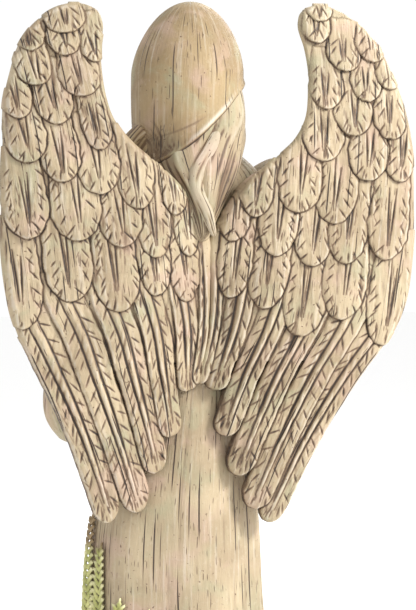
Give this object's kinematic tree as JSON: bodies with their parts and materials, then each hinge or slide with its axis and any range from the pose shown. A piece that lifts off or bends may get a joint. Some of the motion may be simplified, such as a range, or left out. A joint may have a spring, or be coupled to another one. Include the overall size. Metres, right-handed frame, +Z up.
{
  "type": "angel statue",
  "caption": "Standing robed angel with tall folded wings, praying hands, head bowed to one side and ferns up the robe, cast in one with a low oval base.",
  "frame": {"origin": "centre of the flat underside of the base, on the surface it stands on", "axes": "+Z up through the figure, -Y the way its chest and hands face, +X to its own left, the side the ferns grow on"},
  "size_m": [0.2477, 0.1383, 0.53],
  "materials": {
    "driftwood_paint": "cast resin painted like weathered wood, beige with pink and green tints and dark paint left in the cuts",
    "fern_paint": "pale green paint with cream leaf tips on the moulded ferns"
  },
  "bodies": {
    "root": {"angel_statue": "driftwood_paint"}
  },
  "joints": []
}
